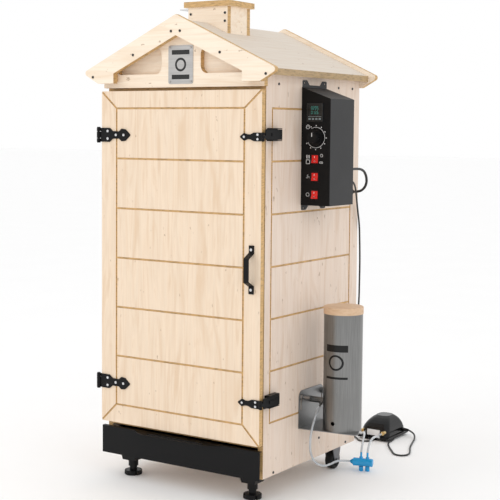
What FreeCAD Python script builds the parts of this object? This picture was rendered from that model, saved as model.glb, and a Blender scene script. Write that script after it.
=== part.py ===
import FreeCAD, Part
import math
import os
from FreeCAD import Vector

"""Electric cabinet smoker with a cold smoke generator and its air pump.

Millimetres, +Z up, the door faces -Y. The model is laid out on the cabinet's own
centre line (x = 0), with y = 0 on the front of the door and z = 0 on the floor.
save() then moves every piece so that the origin is under the middle of the object.
"""

# ---------------------------------------------------------------- driving dimensions
ORIGIN = Vector(56.3, 436.5, 0)       # floor point under the middle of the object

PLY = 15.0                            # plywood thickness
BODY_W = 500.0                        # cabinet width over the side walls
BODY_Y0, BODY_Y1 = 25.0, 505.0        # front and back of the side walls
BODY_Z0, BODY_Z1 = 65.0, 1088.0       # bottom and top of the side walls
HALF = BODY_W / 2
INNER = HALF - PLY                    # half width of the chamber

DOOR_W = 508.0
DOOR_Z0, DOOR_Z1 = 154.0, 1041.0
PLANK = 132.0                         # pitch of the routed plank lines
PLANK_Z0 = 204.0                      # lowest plank line
PLANK_HALF_W = 203.0                  # half length of the door's plank lines
SIDE_GROOVE_Y = (54.0, 460.0)
GROOVE_W, GROOVE_D = 5.0, 2.0

CEILING_Z = 1049.5
BASE_Z = 65.0
SILL_Z = (143.0, 173.0)

ROOF_TAN = 0.4637                     # slope of the roof, 25 degrees
ROOF_APEX = 1222.0
BOARD_RISE = 11.0                     # bargeboards stand above the roof by this much
ROOF_DROP = PLY / math.cos(math.atan(ROOF_TAN))
ROOF_HALF_W = 277.0
ROOF_Y0, ROOF_Y1 = 1.0, 505.0
GABLE_Y0 = 10.0
WINDOW_R = 20.0                       # corners of the two gable windows

CHIMNEY_Y = 180.0                     # middle of the chimney
DUCT_W, DUCT_D = 96.0, 76.0
CAP_Z = 1263.0
CAP_W, CAP_D = 145.4, 120.0
DAMPER_OUT = 44.0                     # length of damper plate outside the chimney

HINGE_X, HINGE_Y = -262.0, -3.0
HINGE_Z = (263.0, 926.0)
STRAP_T = 3.0
LATCH_X, LATCH_Y = 259.5, -3.0
LATCH_Z = (261.0, 925.0)
LATCH_RISE = (2.0, 6.0)               # how far flap and keeper sit above their strap
FLAP_Y1, FLAP_HALF_H = 79.0, 13.0
HANDLE_X, HANDLE_Z = 228.0, 596.5

TRAY_Z = (66.0, 140.0)
TRAY_Y1 = 470.0
FOOT_X, FOOT_Y = 195.0, 63.0
CASTER_X, CASTER_Y = 224.0, 427.0
WHEEL_R, WHEEL_W = 25.0, 22.0

BOX_X1 = 335.0                        # outer face of the control box
BOX_Y0, BOX_Y1 = 195.0, 320.0
BOX_Z0, BOX_Z1, BOX_RIDGE_Z = 749.0, 1053.0, 1023.0
PID_X, PID_Z, PID_SIZE = 290.5, 988.0, 48.0
KNOB_X, KNOB_Z = 293.0, 924.0
SWITCH_X = 292.0
SWITCH_Z = (776.5, 822.5, 868.0)
BUTTON_DX = (-15.0, -5.0, 5.0, 15.0)

FAN_Y, FAN_Z = 258.0, 800.0
RACK_Z = (300.0, 480.0, 660.0)
ROD_Y = (100.0, 200.0, 300.0, 400.0)
ROD_Z = 984.0
ROD_R = 5.0

GEN_X, GEN_Y = 346.0, 259.0           # axis of the smoke generator
GEN_R, GEN_WALL = 50.8, 1.2
GEN_Z0, GEN_Z1 = 163.0, 468.0
PIPE_Z = 230.0

PUMP_X, PUMP_Y0, PUMP_Y1 = 174.5, 765.0, 900.0
PUMP_W, PUMP_H = 105.0, 67.0
NOZZLE_DX, NOZZLE_Z = 35.0, 27.0

SPLITTER = Vector(282, 443, 24)
SPLITTER_TURN = 15.0                  # degrees from +X
SPLITTER_L, SPLITTER_R = 55.0, 11.0
OUTLET_X = (22.0, 40.0)               # along the splitter

AIR_LINE_D, PUMP_CORD_D, POWER_CABLE_D = 6.0, 5.0, 7.0

CABLE_WALL = (462.0, 774.5)           # y, z of the heater supply through the wall
GLAND_Z = (838.0, 812.0)              # heater supply and pump cord behind the box
POWER_CABLE = [
    (300, 342, 838), (300.5, 372, 839.5), (300, 404, 840), (300.5, 430, 838),
    (300, 449, 831), (300.5, 460, 816), (300, 462, 798.5), (291.5, 462.5, 783),
    (276, 462, 774.5), (259, 462, 774.5)]
PUMP_CORD = [
    (300, 342, 812), (299, 374, 810), (293, 404, 800), (283, 432, 782), (272, 458, 755),
    (262, 484, 720), (256, 506, 680), (248, 524, 632), (241, 540, 576), (232, 556, 516),
    (222, 574, 454), (206, 594, 394), (182, 616, 338), (152, 640, 284), (120, 664, 230),
    (88, 690, 176), (60, 716, 124), (38, 738, 74), (28, 760, 32), (38, 780, 8),
    (60, 786, 3), (84, 780, 3), (106, 769, 3), (125, 754, 3), (138, 736, 3), (156, 729, 3),
    (174, 740, 3), (179, 768, 3), (180, 793, 3), (188, 812, 3), (204, 822, 3), (221, 816, 3),
    (228, 796, 3), (229, 770, 3), (236, 746, 3), (250, 722, 3), (267, 698, 3), (285, 675, 3),
    (297, 658, 3), (310, 646, 3), (327, 645, 3), (340, 657, 3), (340, 677, 3), (329, 706, 3),
    (313, 736, 3), (302, 766, 3), (292, 796, 3), (283, 824, 3), (276, 848, 7), (262, 868, 15),
    (242, 872, 20)]
AIR_LINE_A = [
    (286, 242.2, 215.7), (288, 226, 202), (291, 206, 184), (295, 188, 165), (296, 179, 140),
    (289, 192, 108), (281, 222, 76), (275, 260, 54), (269, 304, 40), (262, 346, 34),
    (255, 382, 31), (250, 404, 28), (250.5, 421, 25.5), (258, 434, 24.2), (273.3, 440.7, 24)]
AIR_LINE_B = [
    (303.3, 448.7, 52), (303, 455, 76), (291, 488, 91), (258, 552, 81), (220, 622, 62),
    (184, 682, 42), (158, 712, 33), (146, 729, 29), (139.5, 750, 27)]
AIR_LINE_C = [
    (320.6, 453.4, 52), (321, 458, 72), (315, 490, 85), (300, 548, 76), (274, 612, 56),
    (242, 674, 38), (215, 718, 30), (209.5, 750, 27)]


# ---------------------------------------------------------------- helpers
def box(x0, x1, y0, y1, z0, z1):
    return Part.makeBox(x1 - x0, y1 - y0, z1 - z0, Vector(x0, y0, z0))


def rod(start, end, radius):
    a, b = Vector(*start), Vector(*end)
    return Part.makeCylinder(radius, (b - a).Length, a, b - a)


def cone(start, end, r0, r1):
    a, b = Vector(*start), Vector(*end)
    return Part.makeCone(r0, r1, (b - a).Length, a, b - a)


def mirror(shape):
    return shape.mirror(Vector(0, 0, 0), Vector(1, 0, 0))


def union(shapes):
    return shapes[0].multiFuse(shapes[1:]).removeSplitter()


def rounded_edges(points, radius, closed):
    """Lines joined by tangent arcs. An arc takes at most 0.45 of its shorter run."""
    count = len(points)
    edges = []
    start = points[0]
    corners = range(count) if closed else range(1, count - 1)
    arcs = []
    for i in corners:
        here, before, after = points[i], points[i - 1], points[(i + 1) % count]
        back, ahead = before - here, after - here
        half_turn = (math.pi - back.getAngle(ahead)) / 2
        reach = 0.45 * min(back.Length, ahead.Length)
        if radius is not None:
            reach = min(reach, radius * math.tan(half_turn))
        bend = reach / math.tan(half_turn)
        first = here + back.normalize() * reach
        last = here + ahead.normalize() * reach
        inward = ((first + last) * 0.5 - here).normalize()
        middle = here + inward * (bend / math.cos(half_turn) - bend)
        arcs.append((first, middle, last, bend))
    if closed:
        start = arcs[-1][2]
    for first, middle, last, _ in arcs:
        edges.append(Part.LineSegment(start, first).toShape())
        edges.append(Part.Arc(first, middle, last).toShape())
        start = last
    if not closed:
        edges.append(Part.LineSegment(start, points[-1]).toShape())
    return edges, [arc[3] for arc in arcs]


def plate(outline, plane, low, high, radius=0.0):
    """A flat plate from an outline in the xz, yz or xy plane, with rounded corners."""
    place = {"xz": lambda a, b: Vector(a, low, b),
             "yz": lambda a, b: Vector(low, a, b),
             "xy": lambda a, b: Vector(a, b, low)}[plane]
    along = {"xz": Vector(0, 1, 0), "yz": Vector(1, 0, 0), "xy": Vector(0, 0, 1)}[plane]
    points = [place(a, b) for a, b in outline]
    if radius:
        wire = Part.Wire(rounded_edges(points, radius, True)[0])
    else:
        wire = Part.makePolygon(points + points[:1])
    return Part.Face(wire).extrude(along * (high - low))


def symmetric(right_half):
    """An outline given from top to bottom on +x, closed by its mirror image."""
    return right_half + [(-x, z) for x, z in reversed(right_half) if x > 0]


def slot(centre, length, width, plane, low, high):
    """A straight slot with round ends, long in the first direction of its plane."""
    a, b = centre
    half, r = length / 2 - width / 2, width / 2
    body = plate([(a - half, b - r), (a + half, b - r), (a + half, b + r), (a - half, b + r)],
                 plane, low, high)
    ends = []
    for end in (a - half, a + half):
        if plane == "xy":
            ends.append(rod((end, b, low), (end, b, high), r))
        elif plane == "xz":
            ends.append(rod((end, low, b), (end, high, b), r))
        else:
            ends.append(rod((low, end, b), (high, end, b), r))
    return union([body] + ends)


def cord_tube(route, diameter):
    """A round tube along straight runs joined by tangent arcs."""
    points = [Vector(*point) for point in route]
    edges, bends = rounded_edges(points, None, False)
    path = Part.Wire(edges)
    direction = points[1] - points[0]
    ring = Part.Wire(Part.Circle(points[0], direction, diameter / 2).toShape())
    tube = path.makePipeShell([ring], True, True)
    section = math.pi * diameter ** 2 / 4
    print(f"cord d{diameter}: length {path.Length:.0f}, tightest bend {min(bends):.1f}, "
          f"volume ratio {tube.Volume / (section * path.Length):.3f}, "
          f"lowest {tube.BoundBox.ZMin:.2f}")
    return tube


def screw_head(x, y, z, axis, radius=3.4, height=1.2):
    """A pan head that stands on its surface, with a cross recess."""
    outward = Vector(*axis)
    base = Vector(x, y, z)
    head = Part.makeCylinder(radius, height, base, outward)
    across = Vector(0, 0, 1) if abs(outward.z) < 0.5 else Vector(1, 0, 0)
    side = outward.cross(across)
    top = base + outward * height
    for direction in (across, side):
        other = outward.cross(direction)
        start = top - direction * radius * 0.6 - other * 0.4 - outward * 0.7
        cutter = Part.makePolygon([start, start + direction * radius * 1.2,
                                   start + direction * radius * 1.2 + other * 0.8,
                                   start + other * 0.8, start])
        head = head.cut(Part.Face(cutter).extrude(outward))
    return head


def roof_z(x, drop=0.0):
    return ROOF_APEX - drop - ROOF_TAN * abs(x)


def save(name, *solids):
    shape = Part.makeCompound(list(solids)) if len(solids) > 1 else solids[0]
    shape = shape.copy()
    shape.translate(ORIGIN * -1)
    shape.exportStep(f"parts/{name}.step")


def plank_levels():
    return [PLANK_Z0 + PLANK * i for i in range(7)]


# ---------------------------------------------------------------- wooden cabinet
def side_panel_right():
    panel = box(INNER, HALF, BODY_Y0, BODY_Y1, BODY_Z0, BODY_Z1)
    y0, y1 = SIDE_GROOVE_Y
    face = HALF - GROOVE_D
    levels = plank_levels()
    cuts = [box(face, HALF + 1, y0, y1, z - GROOVE_W / 2, z + GROOVE_W / 2) for z in levels]
    for y in (y0, y1):
        cuts.append(box(face, HALF + 1, y - GROOVE_W / 2, y + GROOVE_W / 2,
                        levels[0] - GROOVE_W / 2, levels[-1] + GROOVE_W / 2))
    return panel.cut(cuts)


def wall_holes():
    """Holes in the right wall: smoke pipe, fan shaft, probe and heater supply."""
    outer = HALF + 1
    inner = INNER - 1
    return [rod((inner, GEN_Y, PIPE_Z), (outer, GEN_Y, PIPE_Z), 6.4),
            rod((inner, FAN_Y, FAN_Z), (outer, FAN_Y, FAN_Z), 8.0),
            rod((inner, FAN_Y, 900), (outer, FAN_Y, 900), 3.4),
            rod((inner, *CABLE_WALL), (outer, *CABLE_WALL), 6.4)]


def ceiling_panel():
    board = box(-INNER, INNER, BODY_Y0, BODY_Y1 - PLY, CEILING_Z, CEILING_Z + PLY)
    board = board.cut(box(-DUCT_W / 2, DUCT_W / 2, CHIMNEY_Y - DUCT_D / 2,
                          CHIMNEY_Y + DUCT_D / 2, CEILING_Z - 1, CEILING_Z + PLY + 1))
    rail = box(-INNER, INNER, BODY_Y0, BODY_Y0 + PLY, CEILING_Z - 40, CEILING_Z)
    return board, rail


def base_panel():
    board = box(-INNER, INNER, BODY_Y0, BODY_Y1 - PLY, BASE_Z, BASE_Z + PLY)
    sill = box(-INNER, INNER, BODY_Y0, BODY_Y0 + PLY, *SILL_Z)
    return board, sill


def gable_outline(half_w, bottom, apex_drop):
    return symmetric([(0, roof_z(0, apex_drop)), (half_w, roof_z(half_w, apex_drop)),
                      (half_w, bottom)])


def gable_boards():
    bottom = CEILING_Z
    front = plate(gable_outline(DOOR_W / 2, bottom, ROOF_DROP), "xz", GABLE_Y0, BODY_Y0)
    window = plate([(62, 1084), (205, 1084), (205, 1098), (62, 1163)], "xz",
                   GABLE_Y0 - 1, BODY_Y0 + 1, WINDOW_R)
    front = front.cut([window, mirror(window)])
    backing = plate(gable_outline(INNER, bottom + PLY, ROOF_DROP), "xz",
                    BODY_Y0, BODY_Y0 + 12)
    rear = plate(gable_outline(INNER, bottom, ROOF_DROP), "xz", BODY_Y1 - PLY, BODY_Y1)
    return front, backing, rear


def roof_panels():
    right = plate([(0, ROOF_APEX), (ROOF_HALF_W, roof_z(ROOF_HALF_W)),
                   (ROOF_HALF_W, roof_z(ROOF_HALF_W, ROOF_DROP)), (0, roof_z(0, ROOF_DROP))],
                  "xz", ROOF_Y0, ROOF_Y1)
    half_w, half_d = DUCT_W / 2 + PLY, DUCT_D / 2 + PLY
    right = right.cut(box(-half_w, half_w, CHIMNEY_Y - half_d, CHIMNEY_Y + half_d, 1100, 1300))
    return right, mirror(right)


def bargeboard(y0, y1):
    """A pair of sloping boards in one piece, with rounded ends beyond the eaves."""
    tip = 308.75
    right_side = [(tip, roof_z(tip) + BOARD_RISE), (256, 1061), (203, 1061), (203, 1087)]
    left_side = [(-x, z) for x, z in reversed(right_side)]
    board = plate([(0, ROOF_APEX + BOARD_RISE)] + right_side + [(0, 1180)] + left_side,
                  "xz", y0, y1)
    ends = [e for e in board.Edges
            if abs(e.Vertexes[0].X) > 250 and abs(e.Vertexes[0].X - e.Vertexes[-1].X) < 0.1]
    return board.makeFillet(8.0, ends)


def rafter_board(y0, y1):
    right_side = [(270, roof_z(270, ROOF_DROP)), (256, 1066), (208, 1066), (208, 1089)]
    left_side = [(-x, z) for x, z in reversed(right_side)]
    return plate([(0, roof_z(0, ROOF_DROP))] + right_side + [(0, 1183)] + left_side,
                 "xz", y0, y1)


def chimney():
    half_w, half_d = DUCT_W / 2, DUCT_D / 2
    bottom = CEILING_Z + PLY
    outer_w = half_w + PLY
    front = box(-outer_w, outer_w, CHIMNEY_Y - half_d - PLY, CHIMNEY_Y - half_d, bottom, CAP_Z)
    rear = box(-outer_w, outer_w, CHIMNEY_Y + half_d, CHIMNEY_Y + half_d + PLY, bottom, CAP_Z)
    right = box(half_w, outer_w, CHIMNEY_Y - half_d, CHIMNEY_Y + half_d, bottom, CAP_Z)
    left = box(-outer_w, -half_w, CHIMNEY_Y - half_d, CHIMNEY_Y + half_d, bottom, CAP_Z)
    left = left.cut(box(-outer_w - 1, -half_w + 1, CHIMNEY_Y - half_d, CHIMNEY_Y + half_d,
                        CAP_Z - 3.4, CAP_Z + 1))
    cap = box(-CAP_W / 2, CAP_W / 2, CHIMNEY_Y - CAP_D / 2, CHIMNEY_Y + CAP_D / 2,
              CAP_Z, CAP_Z + PLY)
    cap = cap.cut(box(-half_w, half_w, CHIMNEY_Y - half_d, CHIMNEY_Y + half_d,
                      CAP_Z - 1, CAP_Z + PLY + 1))
    return front, rear, right, left, cap


def damper_plate():
    outer = -(DUCT_W / 2 + PLY + DAMPER_OUT)
    inner = DUCT_W / 2 - 0.5
    half_d = DUCT_D / 2 - 1.0
    sheet = box(outer, inner, CHIMNEY_Y - half_d, CHIMNEY_Y + half_d, CAP_Z - 2.4, CAP_Z - 0.6)
    corner_edges = [e for e in sheet.Edges
                    if abs(e.Vertexes[0].X - outer) < 0.1 and abs(e.Vertexes[1].X - outer) < 0.1
                    and abs(e.Vertexes[0].Z - e.Vertexes[1].Z) > 1]
    return sheet.makeFillet(8.0, corner_edges)


def plaque():
    badge = plate([(-38.8, 1058), (38.8, 1058), (38.8, 1156), (-38.8, 1156)], "xz",
                  GABLE_Y0 - 1.5, GABLE_Y0, 5.0)
    rivets = []
    for x in (-33, 33):
        for z in (1064, 1150):
            rivets.append(Part.makeSphere(2.4, Vector(x, GABLE_Y0 - 1.5, z), Vector(0, -1, 0),
                                          0, 90, 360))
    return [badge] + rivets


def wood_screws():
    heads = []
    for x in (-273, -137, -14, 14, 137, 273):
        drop = 17 if abs(x) > 200 else 25
        heads.append(screw_head(x, -14, roof_z(x, drop), (0, -1, 0)))
        heads.append(screw_head(x, ROOF_Y1 + PLY, roof_z(x, drop), (0, 1, 0)))
    for side in (-1, 1):
        for y in (83, 387, 464):
            heads.append(screw_head(side * HALF, y, CEILING_Z + PLY / 2, (side, 0, 0)))
        for y in (74, 452):
            heads.append(screw_head(side * HALF, y, BASE_Z + PLY / 2, (side, 0, 0)))
        heads.append(screw_head(side * HALF, 304, 115, (side, 0, 0)))
    half_w, half_d = DUCT_W / 2 + PLY, DUCT_D / 2 + PLY
    for z in (1225, 1246):
        heads.append(screw_head(half_w - 8, CHIMNEY_Y - half_d, z, (0, -1, 0)))
        heads.append(screw_head(-half_w + 8, CHIMNEY_Y - half_d, z, (0, -1, 0)))
    return heads


# ---------------------------------------------------------------- door and its hardware
def door_panel():
    half = DOOR_W / 2
    board = box(-half, half, 0, PLY, DOOR_Z0, DOOR_Z1)
    levels = plank_levels()
    low, high = levels[0], levels[-1]
    cuts = []
    for z in levels:
        cuts.append(box(-PLANK_HALF_W, PLANK_HALF_W, -1, GROOVE_D,
                        z - GROOVE_W / 2, z + GROOVE_W / 2))
    for x in (-PLANK_HALF_W, PLANK_HALF_W):
        cuts.append(box(x - GROOVE_W / 2, x + GROOVE_W / 2, -1, GROOVE_D,
                        low - GROOVE_W / 2, high + GROOVE_W / 2))
    for side in (-1, 1):
        for z_in, z_out in ((low, DOOR_Z0), (high, DOOR_Z1)):
            run = Vector(side * (half - PLANK_HALF_W), 0, z_out - z_in)
            length = run.Length
            mitre = box(0, length + 6, -1, GROOVE_D, -GROOVE_W / 2, GROOVE_W / 2)
            angle = -math.degrees(math.atan2(run.z, run.x))
            mitre.rotate(Vector(0, 0, 0), Vector(0, 1, 0), angle)
            mitre.translate(Vector(side * PLANK_HALF_W, 0, z_in))
            cuts.append(mitre)
    return board.cut(cuts)


def door_seal():
    ring = box(-247, 247, PLY, BODY_Y0 - 0.4, DOOR_Z0 + 6, DOOR_Z1 - 7)
    return ring.cut(box(-237, 237, PLY - 1, BODY_Y0 + 1, DOOR_Z0 + 16, DOOR_Z1 - 17))


def hinge_strap(z):
    """Spear-shaped strap on the door front, with the middle knuckle of its hinge."""
    half = [(-254.2, 18.5), (-226, 18.5), (-215, 10), (-193, 9.5), (-185, 16.5), (-172, 15),
            (-155, 0)]
    outline = [(x, z + h) for x, h in half] + [(x, z - h) for x, h in reversed(half[:-1])]
    strap = plate(outline, "xz", -STRAP_T, 0, 3.0)
    link = box(HINGE_X, -254, -STRAP_T, 0, z - 8.6, z + 8.6)
    knuckle = rod((HINGE_X, HINGE_Y, z - 8.6), (HINGE_X, HINGE_Y, z + 8.6), 5.5)
    bore = rod((HINGE_X, HINGE_Y, z - 10), (HINGE_X, HINGE_Y, z + 10), 2.56)
    return union([strap, link, knuckle]).cut(bore)


def hinge_leaf(z):
    """Joggled leaf on the side wall, with the outer knuckles and the hinge pin."""
    profile = [(HINGE_X, -1), (HINGE_X, 2), (-258.6, 2), (-258.6, 16), (-253, 25), (-253, 78),
               (-250, 78), (-250, 24), (-255.6, 15), (-255.6, -1)]
    leaf = plate(profile, "xy", z - 18.5, z + 18.5)
    leaf = leaf.cut(box(-270, -254.2, -9, 3.2, z - 9.4, z + 9.4))
    knuckles = []
    for low, high in ((z - 18.5, z - 9.4), (z + 9.4, z + 18.5)):
        knuckles.append(rod((HINGE_X, HINGE_Y, low), (HINGE_X, HINGE_Y, high), 5.5))
    bore = rod((HINGE_X, HINGE_Y, z - 20), (HINGE_X, HINGE_Y, z + 20), 2.5)
    pin = rod((HINGE_X, HINGE_Y, z - 19.5), (HINGE_X, HINGE_Y, z + 19.5), 2.5)
    caps = [rod((HINGE_X, HINGE_Y, z + s * 18.5), (HINGE_X, HINGE_Y, z + s * 21), 4.6)
            for s in (-1, 1)]
    return union([leaf] + knuckles).cut(bore), union([pin] + caps)


def latch_strap(z):
    """Pointed strap on the door, with the two outer knuckles of the flap's hinge."""
    half = [(190, 0), (203, 9.5), (213, 6), (222, 6), (232, 10.5), (256, 10.5)]
    outline = [(x, z + h) for x, h in half] + [(x, z - h) for x, h in reversed(half[1:])]
    strap = plate(outline, "xz", -STRAP_T, 0, 2.5)
    strap = strap.cut(box(254.6, 260, -4, 1, z - 4.2, z + 4.2))
    pieces = [strap]
    for low, high in ((z - 10.5, z - 4.2), (z + 4.2, z + 10.5)):
        pieces.append(rod((LATCH_X, LATCH_Y, low), (LATCH_X, LATCH_Y, high), 4.5))
        pieces.append(box(254, LATCH_X, -STRAP_T, 0, low, high))
    bore = rod((LATCH_X, LATCH_Y, z - 12), (LATCH_X, LATCH_Y, z + 12), 2.0)
    pin = rod((LATCH_X, LATCH_Y, z - 11.5), (LATCH_X, LATCH_Y, z + 11.5), 2.0)
    return union(pieces).cut(bore), pin


def latch_flap(z, rise):
    """Flap that folds round the corner on to its keeper."""
    x0, x1 = LATCH_X + 1.5, LATCH_X + 4.5
    low, high = z + rise - FLAP_HALF_H, z + rise + FLAP_HALF_H
    outline = [(LATCH_Y, z + 3.8), (2.5, z + 3.8), (6, high), (FLAP_Y1, high), (FLAP_Y1, low),
               (8, low), (2.5, z - 3.8), (LATCH_Y, z - 3.8)]
    wing = plate(outline, "yz", x0, x1)
    knuckle = rod((LATCH_X, LATCH_Y, z - 3.8), (LATCH_X, LATCH_Y, z + 3.8), 4.5)
    bore = rod((LATCH_X, LATCH_Y, z - 6), (LATCH_X, LATCH_Y, z + 6), 2.06)
    ridge = box(x1, x1 + 1.6, 30, FLAP_Y1 - 4, z + rise - 4, z + rise + 4)
    return union([wing, knuckle, ridge]).cut(bore)


def latch_keeper(z):
    """Channel on the side wall that the flap drops into."""
    web = box(HALF, HALF + 2, 30, FLAP_Y1 - 2, z - 16, z + 16)
    flanges = [box(HALF, HALF + 15, 30, FLAP_Y1 - 2, z + s * 15 - 1, z + s * 15 + 1)
               for s in (-1, 1)]
    rest = box(HALF, LATCH_X + 1.1, 48, 68, z - 6, z + 6)
    return union([web, rest] + flanges)


def door_handle():
    z = HANDLE_Z
    outline = [(0, z + 60.5), (-3.5, z + 60.5), (-3.5, z + 42.5), (-27, z + 30), (-27, z - 30),
               (-3.5, z - 42.5), (-3.5, z - 60.5), (0, z - 60.5), (0, z - 40.5),
               (-23.5, z - 28), (-23.5, z + 28), (0, z + 40.5)]
    bow = plate(outline, "yz", HANDLE_X - 7, HANDLE_X + 7)
    bends = [e for e in bow.Edges if abs(e.Vertexes[0].X - e.Vertexes[-1].X) > 10
             and abs(abs(e.Vertexes[0].Z - z) - 29) < 2]
    return bow.makeFillet(2.5, bends)


def door_screws():
    heads = []
    for z in HINGE_Z:
        for x, dz in ((-231, 10), (-231, -10), (-177, 0), (-203, 0)):
            heads.append(screw_head(x, -STRAP_T, z + dz, (0, -1, 0)))
    for z in LATCH_Z:
        for x, dz in ((204, 0), (244, 5.5), (244, -5.5)):
            heads.append(screw_head(x, -STRAP_T, z + dz, (0, -1, 0), 3.0))
    for s in (-1, 1):
        heads.append(screw_head(HANDLE_X, -3.5, HANDLE_Z + s * 50, (0, -1, 0)))
    return heads


# ---------------------------------------------------------------- drip tray
def drip_tray():
    """Folded sheet tray; its front covers the base and carries a slotted pull tab."""
    z0, z1 = TRAY_Z
    front = box(-254, 254, 3, 5, z0, z1)
    lip = box(-254, 254, 5, 14, z1 - 1.5, z1)
    tab = plate([(-146, 4.5), (-122, -14), (-98, -24), (98, -24), (122, -14), (146, 4.5)],
                "xy", z1 - 1.5, z1, 14.0)
    tab = tab.cut(slot((0, -13), 176, 11, "xy", z1 - 3, z1 + 1))
    wall, top = 1.5, 132.0
    pan = box(-221.5, 221.5, 4, TRAY_Y1, 85, top)
    pan = pan.cut(box(-221.5 + wall, 221.5 - wall, 5, TRAY_Y1 - wall, 85 + wall, top + 1))
    rims = [box(-231, -221, 26, TRAY_Y1, top - wall, top), box(221, 231, 26, TRAY_Y1, top - wall, top)]
    return union([front, lip, tab, pan] + rims)


def angle_rail(z, y0, y1):
    """Steel angle on the right wall, with its shelf at height z."""
    leg = box(INNER - 1.5, INNER, y0, y1, z - 18, z)
    shelf = box(INNER - 12.5, INNER, y0, y1, z - 1.5, z)
    return union([leg, shelf])


def shelf_rails():
    rails = [angle_rail(TRAY_Z[1] - 10.0, 42, 460)]
    rails += [angle_rail(z, 45, 450) for z in RACK_Z]
    return rails + [mirror(r) for r in rails]


# ---------------------------------------------------------------- feet and casters
def foot_socket(x):
    block = plate([(x - 28, BASE_Z), (x + 28, BASE_Z), (x + 20, 42), (x - 20, 42)], "xz",
                  FOOT_Y - 22, FOOT_Y + 22)
    stem = rod((x, FOOT_Y, 43), (x, FOOT_Y, 24), 13.5)
    bore = rod((x, FOOT_Y, 23), (x, FOOT_Y, 54), 5.06)
    return union([block, stem]).cut(bore)


def foot(x):
    disc = rod((x, FOOT_Y, 0), (x, FOOT_Y, 12.5), 24)
    rim = [e for e in disc.Edges if e.Length > 100]
    disc = disc.makeFillet(2.0, rim)
    cuts = []
    for i in range(4):
        notch = box(x - 3, x + 3, FOOT_Y - 26, FOOT_Y - 19.5, -1, 13)
        notch.rotate(Vector(x, FOOT_Y, 0), Vector(0, 0, 1), 90 * i - 34)
        cuts.append(notch)
    neck = rod((x, FOOT_Y, 11), (x, FOOT_Y, 23.6), 10.2)
    screw = rod((x, FOOT_Y, 23), (x, FOOT_Y, 52), 5.0)
    return union([disc, neck, screw]).cut(cuts)


def caster_fork(side):
    x = side * CASTER_X
    plate_top = box(x - 21, x + 20, CASTER_Y - 32, CASTER_Y + 32, BASE_Z - 3, BASE_Z)
    half = WHEEL_W / 2
    cheeks = []
    for s in (-1, 1):
        a, b = sorted((x + s * (half + 0.8), x + s * (half + 3.2)))
        cheeks.append(plate([(CASTER_Y - 22, BASE_Z - 2), (CASTER_Y + 22, BASE_Z - 2),
                             (CASTER_Y + 9, 16), (CASTER_Y - 9, 16)], "yz", a, b, 8.0))
    crown = box(x - half - 3.2, x + half + 3.2, CASTER_Y - 20, CASTER_Y + 20,
                BASE_Z - 6, BASE_Z - 2)
    fork = union([plate_top, crown] + cheeks)
    fork = fork.cut(rod((x - 20, CASTER_Y, WHEEL_R), (x + 20, CASTER_Y, WHEEL_R), 3.0))
    axle = rod((x - half - 5, CASTER_Y, WHEEL_R), (x + half + 5, CASTER_Y, WHEEL_R), 3.0)
    heads = [rod((x + s * (half + 3.2), CASTER_Y, WHEEL_R),
                 (x + s * (half + 6.2), CASTER_Y, WHEEL_R), 5.0) for s in (-1, 1)]
    return fork, union([axle] + heads)


def caster_wheel(side):
    x = side * CASTER_X
    half = WHEEL_W / 2
    tread = rod((x - half, CASTER_Y, WHEEL_R), (x + half, CASTER_Y, WHEEL_R), WHEEL_R)
    tread = tread.makeFillet(3.5, [e for e in tread.Edges if e.Length > 100])
    recesses = []
    for s in (-1, 1):
        ring = rod((x + s * (half - 3), CASTER_Y, WHEEL_R), (x + s * (half + 1), CASTER_Y, WHEEL_R), 16)
        hub = rod((x + s * (half - 4), CASTER_Y, WHEEL_R), (x + s * (half + 2), CASTER_Y, WHEEL_R), 7)
        recesses.append(ring.cut(hub))
    bore = rod((x - half - 1, CASTER_Y, WHEEL_R), (x + half + 1, CASTER_Y, WHEEL_R), 3.06)
    return tread.cut(recesses + [bore])


# ---------------------------------------------------------------- control box
def box_profile(inset):
    """Section of the control box, narrower at the top than at its wall side."""
    slope = (BOX_RIDGE_Z - BOX_Z1) / (BOX_X1 - HALF)
    wall_x = HALF if inset == 0 else HALF - 1
    ridge_x = BOX_X1 - inset
    return [(wall_x, BOX_Z0 + inset), (ridge_x, BOX_Z0 + inset),
            (ridge_x, BOX_Z1 - inset * 1.1 + slope * (ridge_x - HALF)),
            (wall_x, BOX_Z1 - inset * 1.1 + slope * (wall_x - HALF))]


def ear(root, tip, dip):
    """Mounting ear with a lug at each end and a hollowed edge between them."""
    y0, y1 = BOX_Y0 + 2, BOX_Y1
    outline = [(y0, root), (y0, tip), (y0 + 22, tip), (y0 + 34, dip), (y1 - 34, dip),
               (y1 - 22, tip), (y1, tip), (y1, root)]
    lug_z = (root + 2 * tip) / 3
    holes = [rod((HALF - 1, y, lug_z), (HALF + 3, y, lug_z), 2.6) for y in (y0 + 10, y1 - 10)]
    return plate(outline, "yz", HALF, HALF + 1.5, 4.0).cut(holes)


def control_box_housing():
    shell = plate(box_profile(0), "xz", BOX_Y0 + 2, BOX_Y1)
    shell = shell.cut(plate(box_profile(1.5), "xz", BOX_Y0 + 1, BOX_Y1 - 1.5))
    ears = [ear(BOX_Z1 - 2, BOX_Z1 + 18, BOX_Z1 + 6), ear(BOX_Z0 + 1.2, BOX_Z0 - 13, BOX_Z0 - 3)]
    entries = [rod((300, BOX_Y1 - 3, z), (300, BOX_Y1 + 1, z), 5.6) for z in GLAND_Z]
    return union([shell] + ears).cut(entries)


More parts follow.
